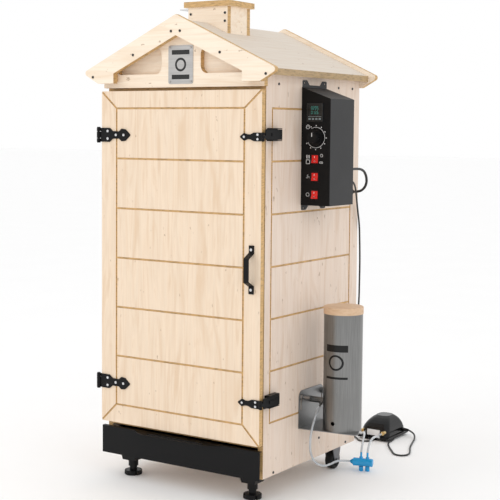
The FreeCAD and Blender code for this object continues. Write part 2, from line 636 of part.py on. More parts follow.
def control_box_front():
    panel = plate(box_profile(0), "xz", BOX_Y0, BOX_Y0 + 2)
    half = PID_SIZE / 2 - 1.5
    cuts = [box(PID_X - half, PID_X + half, BOX_Y0 - 1, BOX_Y0 + 3, PID_Z - half, PID_Z + half),
            rod((KNOB_X, BOX_Y0 - 1, KNOB_Z), (KNOB_X, BOX_Y0 + 3, KNOB_Z), 4.0)]
    for z in SWITCH_Z:
        cuts.append(box(SWITCH_X - 10.6, SWITCH_X + 10.6, BOX_Y0 - 1, BOX_Y0 + 3, z - 12, z + 12))
    return panel.cut(cuts)


def pid_controller():
    half = PID_SIZE / 2
    face = BOX_Y0 - 3.0
    bezel = box(PID_X - half, PID_X + half, face, BOX_Y0, PID_Z - half, PID_Z + half)
    bezel = bezel.makeFillet(1.2, [e for e in bezel.Edges
                                   if abs(e.Vertexes[0].Y - face) < 0.1
                                   and abs(e.Vertexes[1].Y - face) < 0.1])
    body = box(PID_X - 22.2, PID_X + 22.2, BOX_Y0 - 0.5, BOX_Y0 + 70, PID_Z - 22.2, PID_Z + 22.2)
    window = box(PID_X - 19, PID_X + 19, face - 1, face + 0.8, PID_Z - 9, PID_Z + 19)
    wells = [box(PID_X + dx - 3.3, PID_X + dx + 3.3, face - 1, face + 2.6, PID_Z - 19, PID_Z - 14)
             for dx in BUTTON_DX]
    return union([bezel, body]).cut([window] + wells)


def pid_button(dx):
    face = BOX_Y0 - 3.0
    cap = box(PID_X + dx - 3.0, PID_X + dx + 3.0, face - 0.6, face + 1.4, PID_Z - 18.7, PID_Z - 14.3)
    return cap.makeFillet(0.4, [e for e in cap.Edges if abs(e.Vertexes[0].Y - (face - 0.6)) < 0.05
                                and abs(e.Vertexes[1].Y - (face - 0.6)) < 0.05])


def timer_knob():
    skirt = rod((KNOB_X, BOX_Y0 - 0.4, KNOB_Z), (KNOB_X, BOX_Y0 - 4.4, KNOB_Z), 19.5)
    grip = cone((KNOB_X, BOX_Y0 - 4, KNOB_Z), (KNOB_X, BOX_Y0 - 21, KNOB_Z), 15.5, 14.0)
    flutes = []
    for i in range(12):
        angle = math.radians(30 * i + 15)
        x, z = KNOB_X + 16.6 * math.cos(angle), KNOB_Z + 16.6 * math.sin(angle)
        flutes.append(rod((x, BOX_Y0 - 4.4, z), (x, BOX_Y0 - 22, z), 2.2))
    grip = grip.cut(flutes)
    pointer = box(KNOB_X - 0.8, KNOB_X + 0.8, BOX_Y0 - 22, BOX_Y0 - 20.4, KNOB_Z + 2, KNOB_Z + 12)
    shaft = rod((KNOB_X, BOX_Y0 - 3, KNOB_Z), (KNOB_X, BOX_Y0 + 14, KNOB_Z), 3.0)
    return union([skirt, grip, shaft]).cut(pointer)


def switch_bezel(z):
    x = SWITCH_X
    rim = box(x - 11.8, x + 11.8, BOX_Y0 - 2, BOX_Y0, z - 13.5, z + 13.5)
    rim = rim.makeFillet(1.2, [e for e in rim.Edges if abs(e.Vertexes[0].Y - (BOX_Y0 - 2)) < 0.1
                               and abs(e.Vertexes[1].Y - (BOX_Y0 - 2)) < 0.1])
    can = box(x - 10.2, x + 10.2, BOX_Y0 - 0.5, BOX_Y0 + 24, z - 11.8, z + 11.8)
    well = box(x - 9.4, x + 9.4, BOX_Y0 - 3, BOX_Y0 + 8, z - 11.2, z + 11.2)
    return union([rim, can]).cut(well)


def rocker(z):
    """Rocker cap with two faces that meet in a shallow valley over its pivot."""
    y = BOX_Y0 + 1.0
    outline = [(y - 5.0, z + 10.1), (y - 3.0, z), (y - 5.0, z - 10.1), (y + 1.5, z - 9.4),
               (y + 4.2, z), (y + 1.5, z + 9.4)]
    cap = plate(outline, "yz", SWITCH_X - 9.0, SWITCH_X + 9.0)
    cap.rotate(Vector(SWITCH_X, y, z), Vector(1, 0, 0), -9)
    return cap


def cable_entries():
    """Glands at the back of the box and on the wall, and the mains inlet."""
    pieces = []
    for z, bore in zip(GLAND_Z, (POWER_CABLE_D / 2, PUMP_CORD_D / 2)):
        nut = rod((300, BOX_Y1, z), (300, BOX_Y1 + 8, z), 9.5)
        dome = cone((300, BOX_Y1 + 8, z), (300, BOX_Y1 + 22, z), 8.5, bore + 1.4)
        thread = rod((300, BOX_Y1 - 8, z), (300, BOX_Y1, z), 5.4)
        pieces.append(union([nut, dome, thread]))
    nut = rod((HALF, *CABLE_WALL), (HALF + 4, *CABLE_WALL), 9.5)
    dome = cone((HALF + 4, *CABLE_WALL), (HALF + 9, *CABLE_WALL), 8.5, 5.0)
    thread = rod((INNER - 3, *CABLE_WALL), (HALF, *CABLE_WALL), 6.2)
    pieces.append(union([nut, dome, thread]))
    inlet = box(286, 316, BOX_Y1, BOX_Y1 + 4, 758, 782)
    hollow = box(290, 312, BOX_Y1 + 1.2, BOX_Y1 + 5, 762, 778)
    pins = [box(x - 1, x + 1, BOX_Y1 + 1, BOX_Y1 + 3.6, 768, 772) for x in (294, 301, 308)]
    pieces.append(union([inlet.cut(hollow)] + pins))
    return pieces


# ---------------------------------------------------------------- inside the chamber
def fan_motor():
    can = rod((HALF + 4, FAN_Y, FAN_Z), (HALF + 36, FAN_Y, FAN_Z), 21)
    foot_plate = box(HALF + 0.4, HALF + 4.4, FAN_Y - 26, FAN_Y + 26, FAN_Z - 16, FAN_Z + 16)
    nose = rod((INNER - 2, FAN_Y, FAN_Z), (HALF + 2, FAN_Y, FAN_Z), 7.6)
    bore = rod((INNER - 4, FAN_Y, FAN_Z), (HALF + 20, FAN_Y, FAN_Z), 3.05)
    return union([can, foot_plate, nose]).cut(bore)


def fan_wheel():
    x0, x1 = 207.0, 229.0
    shaft = rod((x0 + 4, FAN_Y, FAN_Z), (HALF + 16, FAN_Y, FAN_Z), 3.0)
    hub = rod((x0 + 2, FAN_Y, FAN_Z), (x1 - 2, FAN_Y, FAN_Z), 11)
    blades = []
    for i in range(5):
        blade = box(-9, 9, -0.7, 0.7, 8, 52)
        blade.rotate(Vector(0, 0, 0), Vector(0, 0, 1), 32)
        blade.rotate(Vector(0, 0, 0), Vector(1, 0, 0), 72 * i)
        blade.translate(Vector((x0 + x1) / 2, FAN_Y, FAN_Z))
        blades.append(blade)
    return union([hub, shaft] + blades)


def heating_element():
    """Two hairpin tubes over the drip tray, their flange, and the supply conduit."""
    flange = box(INNER - 4, INNER, 180, 340, 186, 214)
    pieces = [flange]
    for y in (205, 285):
        path = [(INNER - 4, y, 200), (150, y, 200), (70, y, 200), (-120, y, 200),
                (-165, y + 20, 200), (-120, y + 40, 200), (70, y + 40, 200),
                (150, y + 40, 200), (INNER - 4, y + 40, 200)]
        points = [Vector(*p) for p in (path[0], path[3], path[4], path[5], path[8])]
        wire = Part.Wire(rounded_edges(points, 18.0, False)[0])
        ring = Part.Wire(Part.Circle(points[0], Vector(-1, 0, 0), 4.0).toShape())
        pieces.append(wire.makePipeShell([ring], True, True))
    junction = box(INNER - 19, INNER - 3, 450, 474, 761, 788)
    conduit = [Vector(*p) for p in ((227, 462, 761), (227, 462, 200), (227, 340, 200))]
    wire = Part.Wire(rounded_edges(conduit, 40.0, False)[0])
    ring = Part.Wire(Part.Circle(conduit[0], Vector(0, 0, -1), 5.0).toShape())
    pieces += [junction, wire.makePipeShell([ring], True, True)]
    return pieces


def temperature_probe():
    stem = rod((150, FAN_Y, 900), (HALF + 12, FAN_Y, 900), 3.0)
    nut = rod((HALF, FAN_Y, 900), (HALF + 5, FAN_Y, 900), 7.0)
    return union([stem, nut])


def rack(z):
    """Wire rack: a bar frame with a round wire every 22 mm."""
    frame = box(-231, 231, 52, 446, z + 0.3, z + 5.3)
    frame = frame.cut(box(-225, 225, 58, 440, z - 1, z + 6))
    wires = [rod((x, 54, z + 2.8), (x, 444, z + 2.8), 1.6) for x in range(-209, 210, 22)]
    return union([frame] + wires)


def rod_rail():
    """Notched steel rail that carries the hanging rods on the right wall."""
    rail = box(INNER - 16, INNER, 60, 440, ROD_Z - 26, ROD_Z + 4)
    cuts = []
    for y in ROD_Y:
        cuts.append(box(INNER - 17, INNER - 4, y - ROD_R - 0.5, y + ROD_R + 0.5,
                        ROD_Z, ROD_Z + 5))
        cuts.append(rod((INNER - 17, y, ROD_Z), (INNER - 4, y, ROD_Z), ROD_R + 0.5))
    return rail.cut(cuts)


# ---------------------------------------------------------------- smoke generator
def generator_bracket():
    y0, y1 = 195.0, 323.0
    back = plate([(y0, GEN_Z0 - 2), (y1, GEN_Z0 - 2), (y1, 261), (y0, 261)], "yz", HALF, HALF + 2)
    top = [e for e in back.Edges if abs(e.Vertexes[0].X - e.Vertexes[-1].X) > 1
           and e.Vertexes[0].Z > 250]
    back = back.makeFillet(18.0, top)
    shelf = plate([(HALF, y0), (416, 215), (377, 306), (HALF, y1)], "xy", GEN_Z0 - 2, GEN_Z0)
    shelf_end = [e for e in shelf.Edges if abs(e.Vertexes[0].Z - e.Vertexes[-1].Z) > 1
                 and e.Vertexes[0].X > 370]
    shelf = shelf.makeFillet(10.0, shelf_end)
    cuts = [rod((HALF - 1, GEN_Y, PIPE_Z), (HALF + 3, GEN_Y, PIPE_Z), 6.4)]
    for y in (206.5, 313.5):
        cuts.append(box(HALF - 1, HALF + 3, y - 2.5, y + 2.5, 209, 244))
    body = union([back, shelf]).cut(cuts)
    bolts = []
    for y in (206.5, 313.5):
        shank = rod((HALF + 2, y, 244), (HALF + 29, y, 244), 4.0)
        nut = rod((HALF + 2, y, 244), (HALF + 9, y, 244), 8.0)
        bolts.append(union([shank, nut]))
    return [body] + bolts


def generator_tube():
    """Steel tube with its ash floor, light hole, smoke outlet and air nipple."""
    outer = rod((GEN_X, GEN_Y, GEN_Z0), (GEN_X, GEN_Y, GEN_Z1), GEN_R)
    inside = rod((GEN_X, GEN_Y, GEN_Z0 + 2), (GEN_X, GEN_Y, GEN_Z1 + 1), GEN_R - GEN_WALL)
    sleeve = rod((HALF + 2, GEN_Y, PIPE_Z), (GEN_X - 45, GEN_Y, PIPE_Z), 8.0)
    spigot = rod((INNER - 8, GEN_Y, PIPE_Z), (HALF + 3, GEN_Y, PIPE_Z), 6.2)
    nipple = rod((286, GEN_Y - 5, PIPE_Z - 4.3), (286, GEN_Y - 16.8, PIPE_Z - 14.3), 2.6)
    collar = rod((286, GEN_Y - 5, PIPE_Z - 4.3), (286, GEN_Y - 9.1, PIPE_Z - 7.8), 4.5)
    body = union([outer, sleeve, spigot, nipple, collar])
    bore = rod((INNER - 9, GEN_Y, PIPE_Z), (GEN_X - 40, GEN_Y, PIPE_Z), 4.5)
    light_hole = rod((GEN_X, GEN_Y - 40, 185), (GEN_X, GEN_Y - 60, 185), 5.5)
    body = body.cut([inside, bore, light_hole])
    grate = rod((GEN_X, GEN_Y, 204), (GEN_X, GEN_Y, 205.5), GEN_R - GEN_WALL)
    holes = []
    for i in range(-3, 4):
        for j in range(-3, 4):
            if math.hypot(i, j) < 3.3:
                x, y = GEN_X + i * 12, GEN_Y + j * 12
                holes.append(rod((x, y, 203), (x, y, 207), 3.0))
    return body, grate.cut(holes)


def generator_lid():
    disc = rod((GEN_X, GEN_Y, GEN_Z1 + 0.3), (GEN_X, GEN_Y, GEN_Z1 + 19), 52.0)
    disc = disc.makeFillet(2.5, [e for e in disc.Edges if e.Length > 300
                                 and e.Vertexes[0].Z > GEN_Z1 + 10])
    plug = rod((GEN_X, GEN_Y, GEN_Z1 - 9), (GEN_X, GEN_Y, GEN_Z1 + 1), 49.2)
    return union([disc, plug])


# ---------------------------------------------------------------- air pump and splitter
def pump_housing():
    """Domed pump casing on four rubber feet."""
    half = PUMP_W / 2
    depth = PUMP_Y1 - PUMP_Y0
    skirt = box(PUMP_X - half, PUMP_X + half, PUMP_Y0, PUMP_Y1, 6, 13)
    dome = loft_dome(half, depth)
    casing = union([skirt, dome])
    feet = []
    for dx in (-30, 30):
        for y in (PUMP_Y0 + 14, PUMP_Y1 - 18):
            feet.append(rod((PUMP_X + dx, y, 0), (PUMP_X + dx, y, 6), 7.0))
    gland = cone((PUMP_X + half - 4, 872, 20), (242, 872, 20), 6.0, 3.6)
    return [casing, gland] + feet


def loft_dome(half, depth):
    """Casing top: rounded outlines that shrink towards the crown like a quarter ellipse."""
    sections = []
    low, reach = 13.0, 60.0
    for z in (low, 28, 40, 49, 56, 62, PUMP_H):
        draw_in = 1 - math.sqrt(1 - ((z - low) / reach) ** 2)
        side, front, back = 5 + 45 * draw_in, 2 + 90 * draw_in, 4 + 50 * draw_in
        x0, x1 = PUMP_X - half + side, PUMP_X + half - side
        y0, y1 = PUMP_Y0 + front, PUMP_Y0 + depth - back
        points = [Vector(x0, y0, z), Vector(x1, y0, z), Vector(x1, y1, z), Vector(x0, y1, z)]
        sections.append(Part.Wire(rounded_edges(points, 18.0, True)[0]))
    return Part.makeLoft(sections, True, True)


def pump_nozzles():
    pieces = []
    for dx in (-NOZZLE_DX, NOZZLE_DX):
        x = PUMP_X + dx
        stem = rod((x, PUMP_Y0 + 8, NOZZLE_Z), (x, PUMP_Y0 - 15, NOZZLE_Z), 3.4)
        collar = rod((x, PUMP_Y0 + 8, NOZZLE_Z), (x, PUMP_Y0 - 5, NOZZLE_Z), 6.0)
        pieces.append(union([stem, collar]))
    return pieces


def place_on_splitter(shape):
    shape.rotate(Vector(0, 0, 0), Vector(0, 0, 1), SPLITTER_TURN)
    shape.translate(SPLITTER)
    return shape


def splitter_body():
    barrel = rod((0, 0, 0), (SPLITTER_L, 0, 0), SPLITTER_R)
    barrel = barrel.makeFillet(1.5, [e for e in barrel.Edges if e.Length > 60])
    nose = cone((0, 0, 0), (-9, 0, 0), 9.0, 3.4)
    barbs = [rod((x, 0, 8), (x, 0, 28), 2.9) for x in OUTLET_X]
    collars = [rod((x, 0, 8), (x, 0, 15), 5.0) for x in OUTLET_X]
    return place_on_splitter(union([barrel, nose] + barbs + collars))


def splitter_knob(x):
    grip = rod((x, 0, -SPLITTER.z), (x, 0, -SPLITTER_R - 0.5), 6.2)
    return place_on_splitter(grip)


# ---------------------------------------------------------------- write every piece
def main():
    os.makedirs("parts", exist_ok=True)
    right = side_panel_right()
    save("side_panel_right", right.cut(wall_holes()))
    save("side_panel_left", mirror(right))
    save("back_panel", box(-INNER, INNER, BODY_Y1 - PLY, BODY_Y1, BODY_Z0, CEILING_Z))
    save("ceiling_panel", *ceiling_panel())
    save("base_panel", *base_panel())
    save("gable_boards", *gable_boards())
    save("roof_panels", *roof_panels())
    save("bargeboards", bargeboard(-14, ROOF_Y0), bargeboard(ROOF_Y1, ROOF_Y1 + PLY),
         rafter_board(ROOF_Y0, GABLE_Y0))
    save("chimney", *chimney())
    save("damper_plate", damper_plate())
    save("plaque", *plaque())
    save("wood_screws", *wood_screws())
    save("door_panel", door_panel())
    save("door_seal", door_seal())
    straps = [hinge_strap(z) for z in HINGE_Z]
    for z in LATCH_Z:
        straps += latch_strap(z)
    save("door_straps", *straps)
    fittings = [latch_keeper(z + rise) for z, rise in zip(LATCH_Z, LATCH_RISE)]
    for z in HINGE_Z:
        fittings += hinge_leaf(z)
    save("wall_fittings", *fittings)
    save("latch_flap_lower", latch_flap(LATCH_Z[0], LATCH_RISE[0]))
    save("latch_flap_upper", latch_flap(LATCH_Z[1], LATCH_RISE[1]))
    save("door_handle", door_handle())
    save("door_screws", *door_screws())
    save("drip_tray", drip_tray())
    rail = rod_rail()
    save("chamber_rails", rail, mirror(rail), *shelf_rails())
    save("foot_sockets", foot_socket(-FOOT_X), foot_socket(FOOT_X))
    forks = caster_fork(-1) + caster_fork(1)
    save("caster_forks", *forks)
    for name, side in (("left", -1), ("right", 1)):
        save(f"foot_{name}", foot(side * FOOT_X))
        save(f"caster_wheel_{name}", caster_wheel(side))
    save("control_box_housing", control_box_housing())
    save("control_box_front", control_box_front())
    save("pid_controller", pid_controller())
    for number, dx in enumerate(BUTTON_DX, 1):
        save(f"pid_button_{number}", pid_button(dx))
    save("timer_knob", timer_knob())
    save("switch_bezels", *[switch_bezel(z) for z in SWITCH_Z])
    for number, z in enumerate(SWITCH_Z, 1):
        save(f"rocker_{number}", rocker(z))
    save("cable_entries", *cable_entries())
    save("fan_motor", fan_motor())
    save("fan_wheel", fan_wheel())
    save("heating_element", *heating_element())
    save("temperature_probe", temperature_probe())
    save("racks", *[rack(z) for z in RACK_Z])
    save("hanging_rods", *[rod((-229, y, ROD_Z + 0.2), (229, y, ROD_Z + 0.2), ROD_R)
                           for y in ROD_Y])
    save("generator_bracket", *generator_bracket())
    save("generator_tube", *generator_tube())
    save("generator_lid", generator_lid())
    save("pump_housing", *pump_housing())
    save("pump_nozzles", *pump_nozzles())
    save("splitter_body", splitter_body())
    for number, x in enumerate(OUTLET_X, 1):
        save(f"splitter_knob_{number}", splitter_knob(x))
    save("power_cable", cord_tube(POWER_CABLE, POWER_CABLE_D))
    save("pump_cord", cord_tube(PUMP_CORD, PUMP_CORD_D))
    save("air_line_a", cord_tube(AIR_LINE_A, AIR_LINE_D))
    save("air_line_b", cord_tube(AIR_LINE_B, AIR_LINE_D))
    save("air_line_c", cord_tube(AIR_LINE_C, AIR_LINE_D))


main()
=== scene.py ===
import math

import bpy
from mathutils import Matrix, Vector


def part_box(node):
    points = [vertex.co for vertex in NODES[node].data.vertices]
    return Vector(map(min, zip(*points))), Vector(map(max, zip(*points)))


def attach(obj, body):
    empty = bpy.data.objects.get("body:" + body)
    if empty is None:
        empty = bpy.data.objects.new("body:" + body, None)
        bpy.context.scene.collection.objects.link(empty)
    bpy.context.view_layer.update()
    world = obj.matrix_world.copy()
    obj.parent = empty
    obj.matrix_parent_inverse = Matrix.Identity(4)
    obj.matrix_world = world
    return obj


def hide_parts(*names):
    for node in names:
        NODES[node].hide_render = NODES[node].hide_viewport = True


# Looks for the electric cabinet smoker: camera, materials, hoses and cords, small marks, room
# and light. Sizes are in metres, except the routes, which repeat part.py's millimetres.

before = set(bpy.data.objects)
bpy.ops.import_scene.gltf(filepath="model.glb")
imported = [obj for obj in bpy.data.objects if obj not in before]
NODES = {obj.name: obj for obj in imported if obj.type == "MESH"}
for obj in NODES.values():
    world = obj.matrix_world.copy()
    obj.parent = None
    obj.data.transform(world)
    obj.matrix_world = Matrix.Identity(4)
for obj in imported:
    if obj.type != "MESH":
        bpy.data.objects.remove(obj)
scene = bpy.context.scene


# ------------------------------------------------------------------ camera
CAMERA_PLACE = (1.8271, -2.9651, 0.9404)
YAW, PITCH, ROLL = 0.5814, 0.0727, 0.0085      # radians, with the pitch downwards
LENS, SENSOR_WIDTH = 88.4, 36                  # millimetres
SHIFT_Y = -0.06                                # the photograph's framing
FAR_CLIP = 100


def add_camera():
    """The photograph's viewpoint: from the right of the door, a little above the middle."""
    look = Vector((-math.sin(YAW) * math.cos(PITCH), math.cos(YAW) * math.cos(PITCH),
                   -math.sin(PITCH)))
    sideways = Vector((math.cos(YAW), math.sin(YAW), 0))
    up = sideways.cross(look)
    right = sideways * math.cos(ROLL) + up * math.sin(ROLL)
    top = up * math.cos(ROLL) - sideways * math.sin(ROLL)
    camera = bpy.data.objects.new("camera", bpy.data.cameras.new("camera"))
    rotation = Matrix((right, top, -look)).transposed().to_4x4()
    camera.matrix_world = Matrix.Translation(CAMERA_PLACE) @ rotation
    camera.data.sensor_width = SENSOR_WIDTH
    camera.data.lens = LENS
    camera.data.shift_y = SHIFT_Y
    camera.data.clip_end = FAR_CLIP
    scene.collection.objects.link(camera)
    scene.camera = camera


add_camera()


# ------------------------------------------------------------------ shader helpers
MIX_FACTOR, MIX_A, MIX_B, MIX_RESULT = 0, 6, 7, 2      # sockets of a Mix node set to colour
FACING = 0.6            # how much of a normal lies along an axis that the surface faces


def material(name, roughness=0.5, metallic=0.0):
    """A new material with one Principled shader, as (material, tree, shader)."""
    mat = bpy.data.materials.new(name)
    mat.use_nodes = True
    tree = mat.node_tree
    tree.nodes.clear()
    out = tree.nodes.new("ShaderNodeOutputMaterial")
    shader = tree.nodes.new("ShaderNodeBsdfPrincipled")
    shader.inputs["Roughness"].default_value = roughness
    shader.inputs["Metallic"].default_value = metallic
    tree.links.new(shader.outputs[0], out.inputs["Surface"])
    return mat, tree, shader


def coordinates(tree, stretch=(1, 1, 1)):
    """Object coordinates, scaled along each axis."""
    source = tree.nodes.new("ShaderNodeTexCoord")
    mapping = tree.nodes.new("ShaderNodeMapping")
    mapping.inputs["Scale"].default_value = stretch
    tree.links.new(source.outputs["Object"], mapping.inputs["Vector"])
    return mapping.outputs[0]


def noise(tree, stretch, scale, detail=4.0, distortion=0.0):
    node = tree.nodes.new("ShaderNodeTexNoise")
    node.inputs["Scale"].default_value = scale
    node.inputs["Detail"].default_value = detail
    node.inputs["Distortion"].default_value = distortion
    tree.links.new(coordinates(tree, stretch), node.inputs["Vector"])
    return node.outputs["Fac"]


def ramp(tree, fac, stops):
    """Colour ramp from a list of (position, (r, g, b))."""
    node = tree.nodes.new("ShaderNodeValToRGB")
    while len(node.color_ramp.elements) < len(stops):
        node.color_ramp.elements.new(0.5)
    for element, (position, colour) in zip(node.color_ramp.elements, stops):
        element.position = position
        element.color = (*colour, 1)
    tree.links.new(fac, node.inputs["Fac"])
    return node.outputs["Color"]


def level(tree, fac, low, high, floor=0.0, ceiling=1.0):
    """Maps fac from low..high to floor..ceiling, clamped."""
    node = tree.nodes.new("ShaderNodeMapRange")
    for name, value in (("From Min", low), ("From Max", high), ("To Min", floor),
                        ("To Max", ceiling)):
        node.inputs[name].default_value = value
    tree.links.new(fac, node.inputs["Value"])
    return node.outputs["Result"]


def math_node(tree, operation, a, b=None):
    """A Math node on numbers or sockets."""
    node = tree.nodes.new("ShaderNodeMath")
    node.operation = operation
    for socket, value in zip(node.inputs, (a, b)):
        if isinstance(value, (int, float)):
            socket.default_value = value
        elif value is not None:
            tree.links.new(value, socket)
    return node.outputs[0]


def mix(tree, fac, a, b):
    """Colour a where fac is 0 and colour b where it is 1."""
    node = tree.nodes.new("ShaderNodeMix")
    node.data_type = "RGBA"
    for index, value in ((MIX_FACTOR, fac), (MIX_A, a), (MIX_B, b)):
        if isinstance(value, tuple):
            node.inputs[index].default_value = (*value, 1)
        elif isinstance(value, float):
            node.inputs[index].default_value = value
        else:
            tree.links.new(value, node.inputs[index])
    return node.outputs[MIX_RESULT]


def bump(tree, shader, height, strength, distance):
    node = tree.nodes.new("ShaderNodeBump")
    node.inputs["Strength"].default_value = strength
    node.inputs["Distance"].default_value = distance
    tree.links.new(height, node.inputs["Height"])
    tree.links.new(node.outputs[0], shader.inputs["Normal"])


def split(tree, name):
    """The x, y and z of the object coordinate or object normal."""
    source = tree.nodes.new("ShaderNodeTexCoord")
    node = tree.nodes.new("ShaderNodeSeparateXYZ")
    tree.links.new(source.outputs[name], node.inputs[0])
    return node.outputs


def shade(colour, factor):
    return tuple(min(1.0, channel * factor) for channel in colour)


def warm(colour, depth):
    """A darker, browner tone of a wood colour."""
    return tuple(channel * (1 - depth * weight)
                 for channel, weight in zip(colour, (0.55, 1.0, 1.5)))


def give(mat, *names):
    """Sets the material of CAD nodes; their meshes stay as they are."""
    for name in names:
        mesh = NODES[name].data
        mesh.materials.clear()
        mesh.materials.append(mat)


# ------------------------------------------------------------------ materials
PLY_EDGE = (0.60, 0.38, 0.16)         # a fresh cut, seen in the grooves
PLY_RIM = (0.42, 0.29, 0.15)          # the darker outer rims
KNOT = (0.30, 0.17, 0.08)


def within(tree, value, low, high):
    """1 where value lies between low and high."""
    return math_node(tree, "MULTIPLY", math_node(tree, "GREATER_THAN", value, low),
                     math_node(tree, "LESS_THAN", value, high))


def facing(tree, index, least=FACING):
    """1 where the surface faces along the axis, either way."""
    return math_node(tree, "GREATER_THAN",
                     math_node(tree, "ABSOLUTE", split(tree, "Normal")[index]), least)


def any_of(tree, masks):
    """1 where at least one of the masks is."""
    result = masks[0]
    for mask in masks[1:]:
        result = math_node(tree, "MAXIMUM", result, mask)
    return result


def cut_edge(face):
    """Mask of the surfaces that face away from the axis of the panel's faces."""
    index = "xyz".index(face)
    return lambda tree: math_node(tree, "SUBTRACT", 1.0, facing(tree, index))


def routed(face, low, high):
    """Mask of the cut edges and of the groove floors between low and high along face."""
    index = "xyz".index(face)
    return lambda tree: math_node(tree, "MAXIMUM", cut_edge(face)(tree),
                                  within(tree, split(tree, "Object")[index], low, high))


def stretched(axis, factor):
    """Scales for a noise that is drawn out along one axis, the more the smaller factor is."""
    scales = [1.0, 1.0, 1.0]
    scales["xyz".index(axis)] = factor
    return tuple(scales)


GRAIN = 0.07            # how far wood figure is drawn out along the grain


def plywood(name, colour, grain, veneer_mask=None, edge=PLY_EDGE, figure_depth=0.13):
    """Birch plywood. grain is the axis that the figure runs along, and veneer_mask says
    where the cut veneers show in their edge colour."""
    mat, tree, shader = material(name, 0.55)
    figure = noise(tree, stretched(grain, 1.6 * GRAIN), 24, 6, 2.2)
    fine = noise(tree, stretched(grain, 0.5 * GRAIN), 210, 3)
    fleck = noise(tree, stretched(grain, 7 * GRAIN), 85, 2)
    base = ramp(tree, figure, [(0.30, warm(colour, figure_depth)), (0.46, colour),
                               (0.58, shade(colour, 1 + figure_depth / 3)),
                               (0.70, warm(colour, 0.8 * figure_depth))])
    streaked = mix(tree, level(tree, fine, 0.45, 0.75, 0.0, 0.5), base, warm(colour, 0.16))
    result = mix(tree, level(tree, fleck, 0.70, 0.76, 0.0, 0.6), streaked, KNOT)
    if veneer_mask:
        layer = noise(tree, (0.2, 0.2, 1.0), 330, 4)
        veneer = ramp(tree, layer, [(0.30, shade(edge, 0.62)), (0.45, shade(edge, 0.95)),
                                    (0.65, shade(edge, 1.15))])
        result = mix(tree, veneer_mask(tree), result, veneer)
    tree.links.new(result, shader.inputs["Base Color"])
    tree.links.new(level(tree, fine, 0.3, 0.7, 0.48, 0.62), shader.inputs["Roughness"])
    bump(tree, shader, fine, 0.12, 0.0006)
    return mat


def coated(name, colour, roughness, grain_scale=900, depth=0.25, specular=0.5):
    """Powder coat or moulded plastic: one colour that drifts a little, with a fine grain."""
    mat, tree, shader = material(name, roughness)
    shader.inputs["Specular IOR Level"].default_value = specular
    drift = noise(tree, (1, 1, 1), 9, 3)
    grain = noise(tree, (1, 1, 1), grain_scale, 2)
    tone = ramp(tree, drift, [(0.3, shade(colour, 0.86)), (0.7, shade(colour, 1.14))])
    tree.links.new(tone, shader.inputs["Base Color"])
    tree.links.new(level(tree, drift, 0.3, 0.7, roughness * 0.85, min(1, roughness * 1.15)),
                   shader.inputs["Roughness"])
    bump(tree, shader, grain, depth, 0.0003)
    return mat, tree, shader, tone


def brushed(name, colour, roughness, along="x"):
    """Brushed or rolled metal with fine lines along one axis."""
    mat, tree, shader = material(name, roughness, 1.0)
    lines = noise(tree, stretched(along, 0.03), 420, 4)
    cloud = noise(tree, (1, 1, 1), 12, 3)
    tone = ramp(tree, lines, [(0.3, shade(colour, 0.82)), (0.7, shade(colour, 1.12))])
    tone = mix(tree, level(tree, cloud, 0.35, 0.7, 0.0, 0.35), tone, shade(colour, 0.75))
    tree.links.new(tone, shader.inputs["Base Color"])
    tree.links.new(level(tree, lines, 0.3, 0.7, roughness * 0.8, roughness * 1.25),
                   shader.inputs["Roughness"])
    bump(tree, shader, lines, 0.08, 0.0002)
    return mat, tree, shader, tone


DOOR_BIRCH = (0.83, 0.67, 0.51)
# the door's birch with painted shade: a little darker and greyer, as the sides look in shade;
# also used for the back, base and ceiling
BIRCH_WITH_PAINTED_SHADE = (0.76, 0.63, 0.53)
TRIM_BIRCH = (0.92, 0.79, 0.64)
ROOF_BIRCH = (0.70, 0.62, 0.53)
BEECH = (0.66, 0.46, 0.30)


CAP_DEPTH = 0.0152              # the 15 mm chimney cap and a hair
CHIMNEY_BOARD_OFFSET = 0.0382   # from the middle of the chimney to its front and rear boards


def chimney_edges(tree):
    """The sides of the cap, and the ends of the front and rear boards."""
    low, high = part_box("chimney")
    place = split(tree, "Object")
    upright = math_node(tree, "SUBTRACT", 1.0, facing(tree, 2))
    cap = math_node(tree, "MULTIPLY", upright,
                    math_node(tree, "GREATER_THAN", place[2], high.z - CAP_DEPTH))
    off_centre = math_node(tree, "ABSOLUTE",
                           math_node(tree, "SUBTRACT", place[1], (low.y + high.y) / 2))
    ends = math_node(tree, "MULTIPLY", facing(tree, 0),
                     math_node(tree, "GREATER_THAN", off_centre, CHIMNEY_BOARD_OFFSET))
    return math_node(tree, "MAXIMUM", cap, ends)


def paint_cabinet():
    groove = (0.0008, 0.004)          # depths at which the groove floors lie
    door_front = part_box("door_panel")[0].y
    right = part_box("side_panel_right")[1].x
    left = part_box("side_panel_left")[0].x
    give(plywood("birch_door", DOOR_BIRCH, "z",
                 routed("y", door_front + groove[0], door_front + groove[1])), "door_panel")
    # the sides, back, base and ceiling take the birch colour that carries painted shade
    give(plywood("birch_side", BIRCH_WITH_PAINTED_SHADE, "z",
                 routed("x", right - groove[1], right - groove[0])), "side_panel_right")
    give(plywood("birch_side_left", BIRCH_WITH_PAINTED_SHADE, "z",
                 routed("x", left + groove[0], left + groove[1])), "side_panel_left")
    give(plywood("birch_inside", BIRCH_WITH_PAINTED_SHADE, "z"), "back_panel")
    give(plywood("birch_flat", BIRCH_WITH_PAINTED_SHADE, "y", cut_edge("z")), "base_panel", "ceiling_panel")
    give(plywood("birch_gable", TRIM_BIRCH, "x", cut_edge("y")), "gable_boards", "bargeboards")
    give(plywood("birch_roof", ROOF_BIRCH, "y", cut_edge("z"), PLY_RIM, 0.04), "roof_panels")
    give(plywood("birch_chimney", TRIM_BIRCH, "x", chimney_edges), "chimney")
    give(plywood("beech_lid", BEECH, "x", figure_depth=0.18), "generator_lid")


